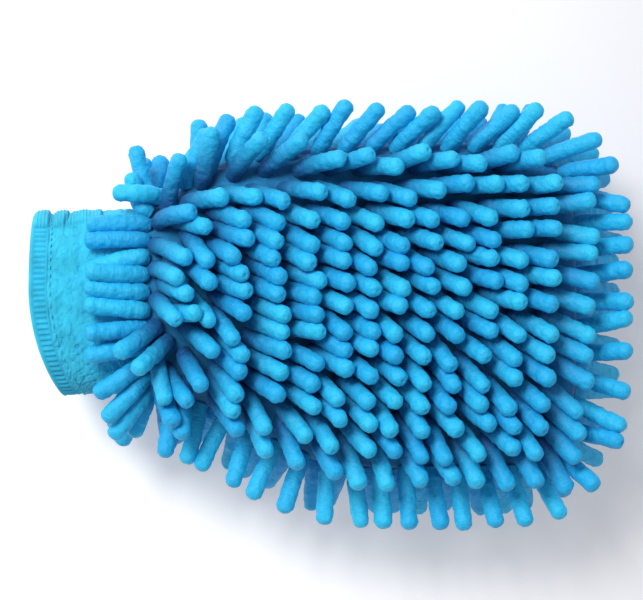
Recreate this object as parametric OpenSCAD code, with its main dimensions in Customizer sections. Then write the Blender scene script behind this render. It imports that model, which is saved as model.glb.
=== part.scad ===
// Double-sided chenille wash mitt, lying face up as if a hand still filled it.
// While it is designed, X = 0 is the wrist seam, +X points to the fingertips, +Y across the
// hand and +Z out of the front panel. The whole is then shifted to stand on Z = 0.

/* [Pouch] */
// Length of the pouch from the wrist seam to the fingertips
pouch_len = 168; // [150:1:190]
// Width of the pouch where it is widest
pouch_w = 132; // [120:1:150]
// Width of the pouch at the wrist seam
wrist_w = 76; // [68:1:84]
// Thickness of the pouch at the wrist seam
wrist_t = 42; // [36:1:48]
// Thickness of the pouch near the fingertips
finger_t = 28; // [24:1:34]
// Length over which the wrist widens into the palm
shoulder_len = 75; // [60:1:90]
// How far the axis of the palm lies below that of the wrist
palm_drop = 2; // [0:0.5:8]
// Length of the rounding at the fingertips
cap_len = 44; // [34:1:60]

/* [Fabric] */
// Thickness of the backing that carries the strands
backing_t = 1; // [0.8:0.1:1.4]
// Thickness of the lining
lining_t = 0.6; // [0.4:0.1:0.8]
// Thickness of the knit of the cuff
knit_t = 1.2; // [0.9:0.1:1.4]

/* [Cuff] */
// Length of the cuff from its mouth to the wrist seam
cuff_len = 50; // [40:1:60]
// Length of the cuff that is tucked into the pouch
cuff_tuck = 8; // [6:1:10]
// Width of the hem band at the mouth
hem_w = 7.5; // [6:0.5:9]
// How far the mouth is drawn back on its lower side
mouth_skew = 12; // [0:1:16]

/* [Chenille strands] */
// Length of a strand
strand_len = 25; // [20:0.5:27]
// Diameter of a strand
strand_d = 5.6; // [5:0.1:6.2]
// Spacing of the strands along a row
strand_pitch = 11.2; // [11:0.1:14]
// Spacing of the strands round the edge
edge_pitch = 10.4; // [9.5:0.1:14]
// Number of rows of strands on each panel, between the edge rows
row_count = 14; // [11:1:14]

/* [Hidden] */
// Thread and seams
thread_d = 0.6;
stitch_len = 2.4;
stitch_gap = 1.4;
allowance_w = 5.5;
allowance_t = 1.6;
elastic_w = 3.2;
elastic_t = 1;
overlock_w = 2.4;
side_seam_w = 4;
side_seam_t = 2;
// Play between neighbouring layers of fabric
play = 0.1;
// Play between a strand's root and the backing
root_play = 0.15;
// Share of the full half width that is reached at the shoulder, and how quickly the wrist flares
shoulder_share = 0.94;
flare_power = 3.4;
// Exponents of the rounded outlines
section_power = 2.2;
cap_power = 4.5;
// Places of the strand rows across the half width, top row first
first_row_v = 0.84;
last_row_v = -0.80;
first_strand_x = 7;
// How many pitches later the top row and every other row start, because the wrist is narrow
top_row_delay = 0.5;
late_row_delay = 0.9;
// Where the edge rows begin at the wrist
edge_start = 4;
// How near the edge, the edge of the rounding and the fingertips the rows come
side_margin = 4.2;
edge_margin = 10;
tip_margin = 9;
// Lean of the strands that lie nearly flat, and the least lean on the side they rest on
flat_lean = 72;
resting_lean = 44;
// How much further the back panel's edge strands turn in behind the front ones, and how much
// more the front ones round the fingertips stand up
back_edge_tuck = 26;
fingertip_rise = 24;
// How far inside the outline the upper edge row is rooted
upper_edge_inset = 3;
// How upright the outline is, as the sine of its slope, where the upper edge's rooting is reached
upper_from = 0.83;
// Where the other edge strands are rooted, outside the outline and off the seam's plane
edge_root_out = 2.7;
edge_root_z = 3.45;
wrist_strand_pitch = 6.8;
wrist_strand_x = -1;
// How much a strand may stray from its row's place and direction
stray_place = 0.5;
stray_angle = 2.4;
// Angle through which the fingertip rounding is skinned, just short of its very point
cap_turn = 89.8;
// Steps of the meshes
pouch_steps = 26;
arc_steps = 22;
ring_steps = 64;
seam_step = 8;
outline_steps = 80;
lining_steps = 16;
row_thread_steps = 18;
dome_steps = 4;
strand_fn = 20;
thread_fn = 16;

strand_r = strand_d / 2;
reach = strand_len - strand_d;
half_w = pouch_w / 2;
cap_x = pouch_len - cap_len;
row_gap_v = (first_row_v - last_row_v) / (row_count - 1);

fabric_blue = [0.13, 0.62, 0.86];
knit_blue = [0.20, 0.74, 0.93];
thread_blue = [0.10, 0.50, 0.74];
chenille_blue = [0.12, 0.66, 0.91];
elastic_white = [0.90, 0.92, 0.94];

// ---- shape of the pouch ----

function clamp01(t) = min(1, max(0, t));
function smooth(t) = clamp01(t) * clamp01(t) * (3 - 2 * clamp01(t));
function mix(a, b, t) = a + (b - a) * t;
function signed_power(v, p) = sign(v) * pow(abs(v), p);

// Half width, drop of the axis and half thickness before the fingertips are rounded
// The wrist widens at once on the upper side and more gently on the lower side
function upper_flare(x) = 1 - pow(1 - clamp01(x / shoulder_len), flare_power);
function lower_flare(x) = smooth(x / shoulder_len);
shoulder_gain = half_w * shoulder_share - wrist_w / 2;
function plain_w(x) = wrist_w / 2 + shoulder_gain * (upper_flare(x) + lower_flare(x)) / 2
    + half_w * (1 - shoulder_share) * smooth(x / cap_x);
function sway(x) = shoulder_gain * (upper_flare(x) - lower_flare(x)) / 2
    - palm_drop * smooth(x / shoulder_len);
function plain_h(x) = mix(wrist_t / 2, finger_t / 2, smooth(x / cap_x));
function cap_share(x) = x <= cap_x ? 1
    : pow(max(0, 1 - pow((x - cap_x) / cap_len, cap_power)), 1 / cap_power);

// Stations along the pouch: closer near the wrist, where it flares, then by angle round the
// fingertips
function station(t, steps, end) = let(straight = floor(steps * 0.6))
    t <= straight ? cap_x * pow(t / straight, 1.3)
    : cap_x + (end - cap_x)
        * pow(sin(cap_turn * (t - straight) / (steps - straight)), 2 / cap_power);
function station_share(t, steps) = let(straight = floor(steps * 0.6))
    t <= straight ? 1 : pow(cos(cap_turn * (t - straight) / (steps - straight)), 2 / cap_power);

// Point of a section of half width w and half thickness h, at an angle from +Y through +Z
function section(x, w, h, a) = [
    x,
    w * signed_power(cos(a), 2 / section_power),
    h * signed_power(sin(a), 2 / section_power)];

// Height of the surface at a distance y from the axis, and the normal there
function surface_z(x, y) = plain_h(x) * cap_share(x)
    * pow(max(0, 1 - pow(min(1, abs(y) / (plain_w(x) * cap_share(x))), section_power)),
        1 / section_power);
function surface_normal(x, y, e = 0.4) = let(
    ahead = surface_z(x + e, y + sway(x) - sway(x + e)),
    behind = surface_z(x - e, y + sway(x) - sway(x - e)),
    n = [(behind - ahead) / (2 * e), (surface_z(x, y - e) - surface_z(x, y + e)) / (2 * e), 1])
    n / norm(n);

// ---- directions of the strands ----

// Direction in the plane of the mitt, in degrees from +X towards +Y. u runs from the wrist
// to the fingertips and v across, from -1 on the lower edge to 1 on the upper edge.
function lay_angle(u, v) = -42 + 34 * v + 40 * (u - 0.5)
    + 10 * smooth((v - 0.55) / 0.25) * (1 - smooth((u - 0.6) / 0.3))
    + 25 * (1 - smooth(u / 0.25)) * smooth((v + 0.4) / 0.4)
    + 12 * smooth((u - 0.6) / 0.3) * (1 - smooth(abs(v - 0.25) / 0.5));
// Lean away from +Z: upright in the middle of the palm and flatter towards the edges
function lay_lean(u, v) = 31 + 17 * smooth(norm([(u - 0.3) / (u < 0.3 ? 1.2 : 0.6), v / 0.95]) / 0.95)
    + 12 * smooth((-v - 0.6) / 0.2);
// The top row is combed up at the wrist and turns to the fingertips
function top_row_angle(u) = 66 - 62 * smooth((u - 0.05) / 0.42) + 8 * smooth((u - 0.6) / 0.3);

function aim(angle, lean, side) = [
    cos(angle) * sin(lean), sin(angle) * sin(lean), side * cos(lean)];

// ---- places of the strands: each is [centre of its root, centre of its tip] ----

// Rooted strand on the front (side 1) or back (side -1) panel
function on_panel(x, y, angle, lean, side) = let(
    n = surface_normal(x, y),
    root = [x, y + sway(x), surface_z(x, y)] + n * (strand_r + root_play),
    d = aim(angle, lean, 1))
    [[root.x, root.y, side * root.z], [root.x, root.y, side * root.z]
        + [d.x, d.y, side * d.z] * reach];

// Row k of a panel, following the widening of the wrist; the rows are staggered
function on_cloth(x, y) = x < pouch_len - tip_margin
    && abs(y) < plain_w(x) * cap_share(x) - (x < cap_x ? side_margin : edge_margin);
function row_y(k, x) = (first_row_v - k * row_gap_v) * plain_w(x);
// The top row and the last strand of each row have nothing beyond them and lie flatter
function row_lean(k, x) = let(u = x / pouch_len, v = first_row_v - k * row_gap_v)
    k == 0 ? mix(flat_lean - 16, lay_lean(u, v), smooth((u - 0.3) / 0.2))
    : !on_cloth(x + strand_pitch, row_y(k, x + strand_pitch)) ? flat_lean
    : lay_lean(u, v);
function panel_row(k, side) = let(
    v = first_row_v - k * row_gap_v,
    first = first_strand_x
        + strand_pitch * (k == 0 ? top_row_delay : k % 2 == 0 ? late_row_delay : 0),
    count = ceil((pouch_len - first) / strand_pitch),
    drift = rands(-1, 1, count * 4, 100 * (side + 2) + k))
    [for (i = [0:count - 1]) let(
        x = first + i * strand_pitch + drift[4 * i] * stray_place,
        y = row_y(k, x) + drift[4 * i + 1] * stray_place,
        u = x / pouch_len,
        angle = (k == 0 ? top_row_angle(u) : lay_angle(u, v)) + drift[4 * i + 2] * stray_angle,
        lean = max(row_lean(k, x), side > 0 ? 0 : resting_lean) + drift[4 * i + 3] * stray_angle)
        if (on_cloth(x, y)) on_panel(x, y, angle, lean, side)];

// Outline of the pouch from the wrist round the fingertips and back, and the length along it
function outline_point(x, upper) = [x, upper * plain_w(x) * cap_share(x) + sway(x)];
function cap_point(t, upper) = let(x = cap_x + cap_len * pow(sin(90 * t), 2 / cap_power))
    [x, upper * plain_w(x) * pow(cos(90 * t), 2 / cap_power) + sway(x)];
edge_points = concat(
    [for (i = [0:outline_steps]) outline_point(mix(edge_start, cap_x, i / outline_steps), 1)],
    [for (i = [1:outline_steps]) cap_point(i / outline_steps, 1)],
    [for (i = [outline_steps - 1:-1:0]) cap_point(i / outline_steps, -1)],
    [for (i = [outline_steps - 1:-1:0])
        outline_point(mix(edge_start, cap_x, i / outline_steps), -1)]);
function run_sum(points, i = 1, total = 0, sums = [0]) = i >= len(points) ? sums
    : let(now = total + norm(points[i] - points[i - 1]))
        run_sum(points, i + 1, now, concat(sums, [now]));
edge_run = run_sum(edge_points);
edge_total = edge_run[len(edge_run) - 1];
function edge_index(s) = let(found = [for (i = [0:len(edge_run) - 2]) if (edge_run[i + 1] > s) i])
    len(found) > 0 ? found[0] : len(edge_run) - 2;
function edge_at(s) = let(i = edge_index(s),
    part = (s - edge_run[i]) / (edge_run[i + 1] - edge_run[i]))
    mix(edge_points[i], edge_points[i + 1], part);
function edge_out(s) = let(a = edge_at(max(0, s - 2)), b = edge_at(min(edge_total, s + 2)),
    d = (b - a) / norm(b - a)) [-d.y, d.x];

// Direction of the fringe round the edge: outward, drawn over to the fingertips on the upper
// edge and hanging on the lower edge
function fringe_angle(u, out) = let(away = atan2(out.y, out.x))
    out.y > 0 ? away - 44 * smooth(out.y)
    : away + 14 * smooth(u) * smooth(-out.y) - 6 * smooth(out.x);

edge_count = floor(edge_total / edge_pitch);
// Strand i of the edge row on one side; the two sides are staggered. The upper edge's row is
// rooted a little way onto the panel, and the back panel's strands turn in behind the front ones.
function edge_strand(i, side) = let(
    s = (i + (side > 0 ? 0.25 : 0.75)) * edge_total / edge_count,
    drift = rands(-1, 1, 3, 500 + 10 * i + side),
    out = edge_out(s),
    upper = smooth(out.y / upper_from),
    inner = edge_at(s) - out * upper_edge_inset,
    n = surface_normal(inner.x, inner.y - sway(inner.x), 0.2),
    on_edge = edge_at(s) + out * edge_root_out,
    on_top = [inner.x, inner.y, surface_z(inner.x, inner.y - sway(inner.x))]
        + n * (strand_r + root_play),
    p = mix([on_edge.x, on_edge.y, edge_root_z], on_top, upper),
    root = [p.x, p.y, side * p.z],
    lean = 76 - (side > 0 ? fingertip_rise * smooth(out.x) : back_edge_tuck)
        + drift[1] * stray_angle,
    d = aim(fringe_angle(p.x / pouch_len, out) + drift[0] * stray_angle, lean, side))
    [root, root + d * (reach + drift[2])];
upper_last = len([for (i = [0:edge_count - 1]) if (edge_out((i + 0.5) * edge_total
    / edge_count).y > 0.75) i]);
lower_first = edge_count - len([for (i = [0:edge_count - 1]) if (edge_out((i + 0.5)
    * edge_total / edge_count).y < -0.75) i]);
function edge_row(first, last, side) = [for (i = [first:last]) edge_strand(i, side)];

// Strands rooted at the wrist seam that fall back over the cuff
function wrist_arc(a) = section(wrist_strand_x, wrist_w / 2, wrist_t / 2, a);
wrist_arc_run = run_sum([for (a = [0:2:180]) wrist_arc(a)]);
wrist_arc_total = wrist_arc_run[90];
wrist_strand_count = floor(wrist_arc_total / wrist_strand_pitch);
function wrist_angle(s) = let(found = [for (i = [0:89]) if (wrist_arc_run[i + 1] > s) i])
    2 * (found[0] + (s - wrist_arc_run[found[0]])
        / (wrist_arc_run[found[0] + 1] - wrist_arc_run[found[0]]));
function wrist_row(side) = [for (i = [0:wrist_strand_count - 1]) let(
    a = wrist_angle((i + 0.5) * wrist_arc_total / wrist_strand_count),
    p = wrist_arc(a),
    drift = rands(-1, 1, 2, 900 + 10 * i + side),
    out = [0, p.y / pow(wrist_w / 2, 2), p.z / pow(wrist_t / 2, 2)],
    n = out / norm(out),
    root = p + n * (strand_r + root_play + drift[0] * 0.1 + 0.1),
    droop = 62 * smooth((-p.y - 6) / 30) - 75 * smooth((p.y - 31) / 6),
    d = [-cos(droop), -sin(droop), 0] + n * 0.12,
    e = d / norm(d),
    tip = root + e * (reach - 1 + drift[1]))
    [[root.x, root.y, side * root.z], [tip.x, tip.y, side * tip.z]]];

// ---- the standing position ----

all_strands = concat(
    [for (side = [1, -1]) for (k = [0:row_count - 1]) for (s = panel_row(k, side)) s],
    [for (side = [1, -1]) for (s = edge_row(0, edge_count - 1, side)) s],
    [for (side = [1, -1]) for (s = wrist_row(side)) s]);
function lowest(axis) = min([for (s = all_strands) min(s[0][axis], s[1][axis])]) - strand_r;
function highest(axis) = max([for (s = all_strands) max(s[0][axis], s[1][axis])]) + strand_r;
shift = [
    -(highest(0) - cuff_len) / 2,
    -(highest(1) + lowest(1)) / 2,
    -lowest(2)];

// ---- building blocks ----

function flip(list) = [for (i = [len(list) - 1:-1:0]) list[i]];

// Solid skinned over rings of equal length. The rings close on themselves; each end is capped
// with a strip across the ring, unless the skin itself closes into a loop.
module skin(rings, loop = false) {
    n = len(rings[0]);
    m = len(rings);
    spans = loop ? m : m - 1;
    sides = [for (j = [0:spans - 1]) for (i = [0:n - 1]) let(
        a = j * n + i, b = j * n + (i + 1) % n,
        c = ((j + 1) % m) * n + (i + 1) % n, d = ((j + 1) % m) * n + i)
        each [[a, b, c], [a, c, d]]];
    caps = loop ? [] : [for (i = [0:n / 2 - 2]) let(
        a = i, b = i + 1, c = n - 2 - i, d = n - 1 - i, e = (m - 1) * n)
        each [[c, b, a], [d, c, a], [e + a, e + b, e + c], [e + a, e + c, e + d]]];
    polyhedron(points = [for (r = rings) for (p = r) p], faces = concat(sides, caps));
}

// Half of a pouch, the front for side 1 and the back for side -1, inset from the backing's
// outer face by inset, with a wall of thickness t. It runs from x0 to the fingertips.
module half_pouch(side, inset, edge_inset, t, x0, steps, arc) {
    function shell_w(x, in) = plain_w(x) - in - edge_inset * smooth((x - x0) / 30);
    function ring_half(j, in) = let(
        end = pouch_len - in - edge_inset,
        x = max(station(j, steps, end), x0 + j * 0.01),
        share = station_share(j, steps))
        [for (i = [0:arc]) let(p = section(x, shell_w(x, in) * share,
            (plain_h(x) - in) * share, 180 * i / arc)) [p.x, p.y + sway(x), side * (p.z + play)]];
    rings = [for (j = [0:steps]) concat(ring_half(j, inset), flip(ring_half(j, inset + t)))];
    skin(side > 0 ? rings : [for (r = rings) flip(r)]);
}

// How far the cuff's mouth is drawn back at a place across it
function mouth_x(y) = -cuff_len + mouth_skew * pow(clamp01((6 - y) / (wrist_w / 2 + 6)), 2);
// Place on the cuff: run 0 is the mouth and run 1 the tucked end; inset as for the pouch
function cuff_point(run, inset, a, y_mouth) = let(
    x = mix(mouth_x(y_mouth), cuff_tuck, run),
    rim = 1.2 * (1 - smooth((x + cuff_len) / 26)) - backing_t - 2 * play - inset)
    section(x, plain_w(x) + rim, plain_h(x) + rim, a) + [0, sway(x), 0];

// A closed band round the cuff. The profile is a list of [distance from the mouth, inset].
module cuff_band(profile) {
    skin([for (i = [0:ring_steps - 1]) let(a = 360 * i / ring_steps)
        [for (q = profile) let(
            y = cuff_point(0, 0, a, 0).y,
            start = mouth_x(y),
            run = q[0] / (cuff_tuck - start))
            cuff_point(run, q[1], a, y)]], loop = true);
}

// Chenille strand: a round-ended solid of revolution between two centres
strand_profile = function(long) concat(
    [for (i = [0:dome_steps]) let(a = -90 + 90 * i / dome_steps)
        [strand_r * cos(a), strand_r * sin(a)]],
    [for (i = [0:dome_steps]) let(a = 90 * i / dome_steps)
        [strand_r * cos(a), long + strand_r * sin(a)]]);
module between(a, b) {
    d = b - a;
    translate(a) rotate([0, acos(d.z / norm(d)), atan2(d.y, d.x)]) children();
}
module strand(s) {
    between(s[0], s[1])
        rotate_extrude($fn = strand_fn) polygon(strand_profile(norm(s[1] - s[0])));
}
module strands(list) {
    color(chenille_blue) translate(shift) for (s = list) strand(s);
}
module stitch(a, b) {
    between(a, b) cylinder(d = thread_d, h = norm(b - a), $fn = thread_fn);
}

// ---- the sewn parts ----

module front_backing() {
    color(fabric_blue) translate(shift)
        half_pouch(1, 0, 0, backing_t, 0, pouch_steps, arc_steps);
}
module back_backing() {
    color(fabric_blue) translate(shift)
        half_pouch(-1, 0, 0, backing_t, 0, pouch_steps, arc_steps);
}
lining_inset = backing_t + knit_t + 4 * play;
module front_lining() {
    color(fabric_blue) translate(shift)
        half_pouch(1, lining_inset, allowance_w, lining_t, 2, lining_steps, lining_steps);
}
module back_lining() {
    color(fabric_blue) translate(shift)
        half_pouch(-1, lining_inset, allowance_w, lining_t, 2, lining_steps, lining_steps);
}

// Seam allowance of the two panels, turned inside along the edge from wrist seam to wrist seam
module perimeter_seam() {
    near = backing_t + 3 * play;
    far = near + allowance_w - 1.2;
    start = cuff_tuck + overlock_w + 2 * play;
    places = [for (i = [0:seam_step:len(edge_points) - 1]) if (edge_points[i].x > start) i];
    color(fabric_blue) translate(shift) skin([for (i = places) let(
        out = edge_out(edge_run[i]), p = edge_points[i],
        a = p - out * near, b = p - out * far, h = allowance_t / 2)
        [[a.x, a.y, -h / 3], [a.x, a.y, h / 3], [b.x, b.y, h], [b.x, b.y, -h]]]);
}
module perimeter_stitching() {
    inset = backing_t + allowance_w / 2;
    lift = allowance_t / 2 + thread_d;
    pitch = stitch_len + stitch_gap;
    color(thread_blue) translate(shift)
        for (s = [16:pitch * 2:edge_total - 18]) let(
            a = edge_at(s) - edge_out(s) * inset,
            b = edge_at(s + stitch_len * 1.6) - edge_out(s + stitch_len * 1.6) * inset)
            stitch([a.x, a.y, lift], [b.x, b.y, lift]);
}

// Rows of stitching that hold the strands to a panel, one thread under each row, between the
// backing and the lining
row_thread_inset = backing_t + thread_d / 2 + 0.3;
row_thread_share = 0.9;
module row_thread(k, side) {
    v = (first_row_v - k * row_gap_v) * row_thread_share;
    x0 = cuff_tuck + 6;
    x1 = cap_x + cap_len * 0.62 * (1 - v * v);
    r = thread_d / 2;
    skin([for (j = [0:row_thread_steps]) let(
        x = mix(x0, x1, j / row_thread_steps),
        y = v * (plain_w(x) - row_thread_inset),
        n = surface_normal(x, y),
        p = [x, y + sway(x), surface_z(x, y)] - n * row_thread_inset)
        [for (a = [0:90:270]) let(b = side > 0 ? a : -a)
            [p.x, p.y + r * cos(b), side * p.z + r * sin(b)]]]);
}
module front_row_stitching() {
    color(thread_blue) translate(shift) for (k = [0:row_count - 1]) row_thread(k, 1);
}
module back_row_stitching() {
    color(thread_blue) translate(shift) for (k = [0:row_count - 1]) row_thread(k, -1);
}

// Strand rows
module front_strand_row(k) {
    strands(panel_row(k, 1));
}
module back_strand_row(k) {
    strands(panel_row(k, -1));
}
module edge_strands(side, part) {
    strands(part == 0 ? edge_row(0, upper_last - 1, side)
        : part == 1 ? edge_row(upper_last, lower_first - 1, side)
        : edge_row(lower_first, edge_count - 1, side));
}
module wrist_strands(side) {
    strands(wrist_row(side));
}

// Knit tube of the cuff, from inside the hem band to its tucked end in the pouch
module cuff_knit() {
    start = hem_w - 2.5;
    color(knit_blue) translate(shift) skin([for (i = [0:ring_steps - 1]) let(
        a = 360 * i / ring_steps, y = cuff_point(0, 0, a, 0).y)
        [for (q = cuff_profile(start, mouth_x(y))) cuff_point(q[0], q[1], a, y)]], loop = true);
}
function cuff_profile(start, mouth) = let(
    places = concat([for (t = [0:4]) mix(mouth + start, 0, t / 4)], [cuff_tuck / 2, cuff_tuck]),
    runs = [for (x = places) (x - mouth) / (cuff_tuck - mouth)])
    concat([for (r = runs) [r, 0]], [for (r = flip(runs)) [r, knit_t]]);

// Folded band that binds the mouth, with a channel for the elastic
module cuff_hem_band() {
    outer = -1;
    ply = 0.8;
    color(knit_blue) translate(shift) cuff_band([
        [hem_w, outer], [hem_w, outer + ply], [1, outer + ply],
        [1, knit_t + 0.2], [hem_w, knit_t + 0.2], [hem_w, knit_t + 0.2 + ply],
        [0.6, knit_t + 0.2 + ply], [0, knit_t / 2], [0.6, outer]]);
}
module cuff_elastic() {
    gap = 1.3;
    color(elastic_white) translate(shift) cuff_band([
        [gap, knit_t - elastic_t], [gap, knit_t - 0.1], [gap + elastic_w, knit_t - 0.1],
        [gap + elastic_w, knit_t - elastic_t]]);
}
module hem_stitching() {
    color(thread_blue) translate(shift) for (i = [0:ring_steps - 1]) let(
        a = 360 * i / ring_steps,
        b = a + 210 / ring_steps,
        lift = -thread_d / 2 - 0.25,
        pa = hem_stitch_point(a, lift),
        pb = hem_stitch_point(b, lift))
        stitch(pa, pb);
}
function hem_stitch_point(a, inset) = let(
    y = cuff_point(0, 0, a, 0).y, start = mouth_x(y))
    cuff_point((hem_w + 0.8) / (cuff_tuck - start), inset, a, y);

// Overlocked allowance where the cuff's two edges meet, a flap along the cuff's upper side
module cuff_side_seam() {
    y0 = wrist_w / 2 - backing_t + 0.6;
    x0 = -cuff_len + hem_w + 2;
    x1 = -strand_len - 1;
    color(knit_blue) translate(shift)
        translate([x0, y0, -side_seam_t / 2]) cube([x1 - x0, side_seam_w, side_seam_t]);
}
module cuff_side_stitching() {
    y0 = wrist_w / 2 - backing_t + 0.6 + side_seam_w + 0.1 + thread_d / 2;
    x0 = -cuff_len + hem_w + 2;
    x1 = -strand_len - 1;
    color(thread_blue) translate(shift)
        for (x = [x0 + 0.5:stitch_gap:x1 - 0.5])
            stitch([x, y0, -side_seam_t / 2], [x, y0, side_seam_t / 2]);
}

// Overlocked edges of the wrist seam, behind the tucked end of the cuff
module wrist_overlock() {
    start = cuff_tuck + play;
    color(thread_blue) translate(shift) skin([for (i = [0:ring_steps - 1]) let(
        a = 360 * i / ring_steps, outer = backing_t + play + 0.1, inner = outer + knit_t - 0.2)
        [for (q = [[0, outer], [overlock_w, outer], [overlock_w, inner], [0, inner]])
            section(start + q[0], plain_w(start + q[0]) - q[1], plain_h(start + q[0]) - q[1], a)
                + [0, sway(start + q[0]), 0]]], loop = true);
}
// Line of stitches round the wrist seam, on the outside of the knit
module wrist_stitching() {
    x = -0.8;
    color(thread_blue) translate(shift) for (i = [0:ring_steps - 1]) let(
        a = 360 * i / ring_steps,
        b = a + 210 / ring_steps,
        w = wrist_w / 2 - backing_t - play + 0.1 + thread_d / 2,
        h = wrist_t / 2 - backing_t - play + 0.1 + thread_d / 2)
        stitch(section(x, w, h, a), section(x, w, h, b));
}

row_names = [for (k = [1:row_count]) str("front_strand_row_", k)];
back_row_names = [for (k = [1:row_count]) str("back_strand_row_", k)];
edge_parts = ["upper", "fingertip", "lower"];

front_backing();
back_backing();
front_lining();
back_lining();
perimeter_seam();
perimeter_stitching();
front_row_stitching();
back_row_stitching();
cuff_knit();
cuff_hem_band();
cuff_elastic();
hem_stitching();
cuff_side_seam();
cuff_side_stitching();
wrist_overlock();
wrist_stitching();
for (k = [0:row_count - 1]) {
    front_strand_row(k);
    back_strand_row(k);
}
for (part = [0:2]) {
    edge_strands(1, part);
    edge_strands(-1, part);
}
wrist_strands(1);  // front_wrist_strands
wrist_strands(-1);  // back_wrist_strands
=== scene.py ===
"""Looks of the double-sided chenille wash mitt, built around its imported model.

Lengths in this file are in millimetres unless a name says otherwise; MM turns them into metres.
+X runs from the cuff to the fingertips, +Y across the hand and +Z out of the front panel.
"""

import math

import bpy
import numpy as np
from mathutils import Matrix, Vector
from mathutils.bvhtree import BVHTree


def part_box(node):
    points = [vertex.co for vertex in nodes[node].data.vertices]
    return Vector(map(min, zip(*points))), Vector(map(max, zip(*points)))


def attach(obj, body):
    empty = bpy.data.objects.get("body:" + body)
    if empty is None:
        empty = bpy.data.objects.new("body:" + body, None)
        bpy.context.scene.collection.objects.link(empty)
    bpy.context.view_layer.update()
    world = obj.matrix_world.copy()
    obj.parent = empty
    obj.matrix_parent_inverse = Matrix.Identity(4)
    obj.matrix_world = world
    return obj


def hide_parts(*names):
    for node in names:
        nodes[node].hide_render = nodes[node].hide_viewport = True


MM = 0.001
BODY = "root"

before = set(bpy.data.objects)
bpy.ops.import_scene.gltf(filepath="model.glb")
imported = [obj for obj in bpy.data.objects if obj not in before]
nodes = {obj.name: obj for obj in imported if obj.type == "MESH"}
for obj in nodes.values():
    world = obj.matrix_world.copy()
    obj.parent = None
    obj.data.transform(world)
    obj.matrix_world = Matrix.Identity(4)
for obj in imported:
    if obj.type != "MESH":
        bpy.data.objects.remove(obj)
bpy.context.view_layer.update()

# ---- the sewn shell; its origin is where the wrist seam, the mitt's axis and the panels meet ----
SHELL_LOW, SHELL_HIGH = (np.array(corner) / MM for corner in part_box("front_backing"))
PALM_DROP = 2.0
ORIGIN = np.array([SHELL_LOW[0], (SHELL_LOW[1] + SHELL_HIGH[1]) / 2 + PALM_DROP, SHELL_LOW[2]])
POUCH_LEN = SHELL_HIGH[0] - SHELL_LOW[0]
POUCH_HALF_W = (SHELL_HIGH[1] - SHELL_LOW[1]) / 2
WRIST_HALF_W = 38.0
WRIST_HALF_T = SHELL_HIGH[2] - SHELL_LOW[2]
FINGER_HALF_T = 14.0
SHOULDER_LEN = 75.0
SHOULDER_SHARE = 0.94
FLARE_POWER = 3.4
CAP_LEN = 44.0
CAP_POWER = 4.5
SECTION_POWER = 2.2
ALLOWANCE_W = 5.5

# ---- fabric ----
BACKING_T = 1.0
LINING_T = 0.6
KNIT_T = 1.2
LINING_INSET = BACKING_T + KNIT_T + 0.4
CUFF_LEN = 50.0
CUFF_TUCK = 8.0
MOUTH_SKEW = 12.0
HEM_W = 7.5
ROWS = 14
FIRST_ROW_V = 0.84
LAST_ROW_V = -0.80
STITCH_PITCH = 2.8

# ---- chenille strands ----
STRAND_R = 3.5
STRAND_LEN = 25.2
STRAND_SINK = 0.5
STRAND_RINGS = 52
DOME_RINGS = 12
RIDGE_PITCH = 1.35
STRAND_SIDES = 34
ROW_NODES = sorted(n for n in nodes if "strand" in n)


# ======================= camera, lights and stage =======================

PLANE_WIDTH = 259.5
CAMERA_DISTANCE = 900.0
CAMERA_OFFSET = (-4.05, 6.8)
SENSOR = 36.0


def make_camera():
    """Looks straight down on the face of the mitt, which fills the frame from edge to edge."""
    data = bpy.data.cameras.new("camera")
    data.sensor_width = SENSOR
    data.lens = SENSOR * CAMERA_DISTANCE / PLANE_WIDTH
    data.clip_end = 20
    camera = bpy.data.objects.new("camera", data)
    seam_height = (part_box("front_backing")[0].z) / MM
    camera.location = Vector((*CAMERA_OFFSET, seam_height + CAMERA_DISTANCE)) * MM
    bpy.context.scene.collection.objects.link(camera)
    bpy.context.scene.camera = camera


def area_light(name, place, size, power, colour):
    data = bpy.data.lights.new(name, "AREA")
    data.shape = "DISK"
    data.size = size
    data.energy = power
    data.color = colour
    lamp = bpy.data.objects.new(name, data)
    lamp.location = place
    lamp.rotation_euler = (-Vector(place)).to_track_quat("-Z", "Y").to_euler()
    bpy.context.scene.collection.objects.link(lamp)


def make_lights():
    """A large soft key from above the upper left, a weaker fill, and a pale sky all round."""
    area_light("key", (-0.72, 0.9, 1.6), 0.9, 35, (1.0, 0.99, 0.97))
    area_light("fill", (1.2, -0.6, 1.3), 1.4, 3, (0.95, 0.97, 1.0))
    world = bpy.data.worlds.new("sky")
    world.use_nodes = True
    sky = world.node_tree.nodes["Background"]
    sky.inputs["Color"].default_value = (0.97, 0.975, 1.0, 1)
    sky.inputs["Strength"].default_value = 0.36
    bpy.context.scene.world = world
    bpy.context.scene.view_settings.view_transform = "Standard"


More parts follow.
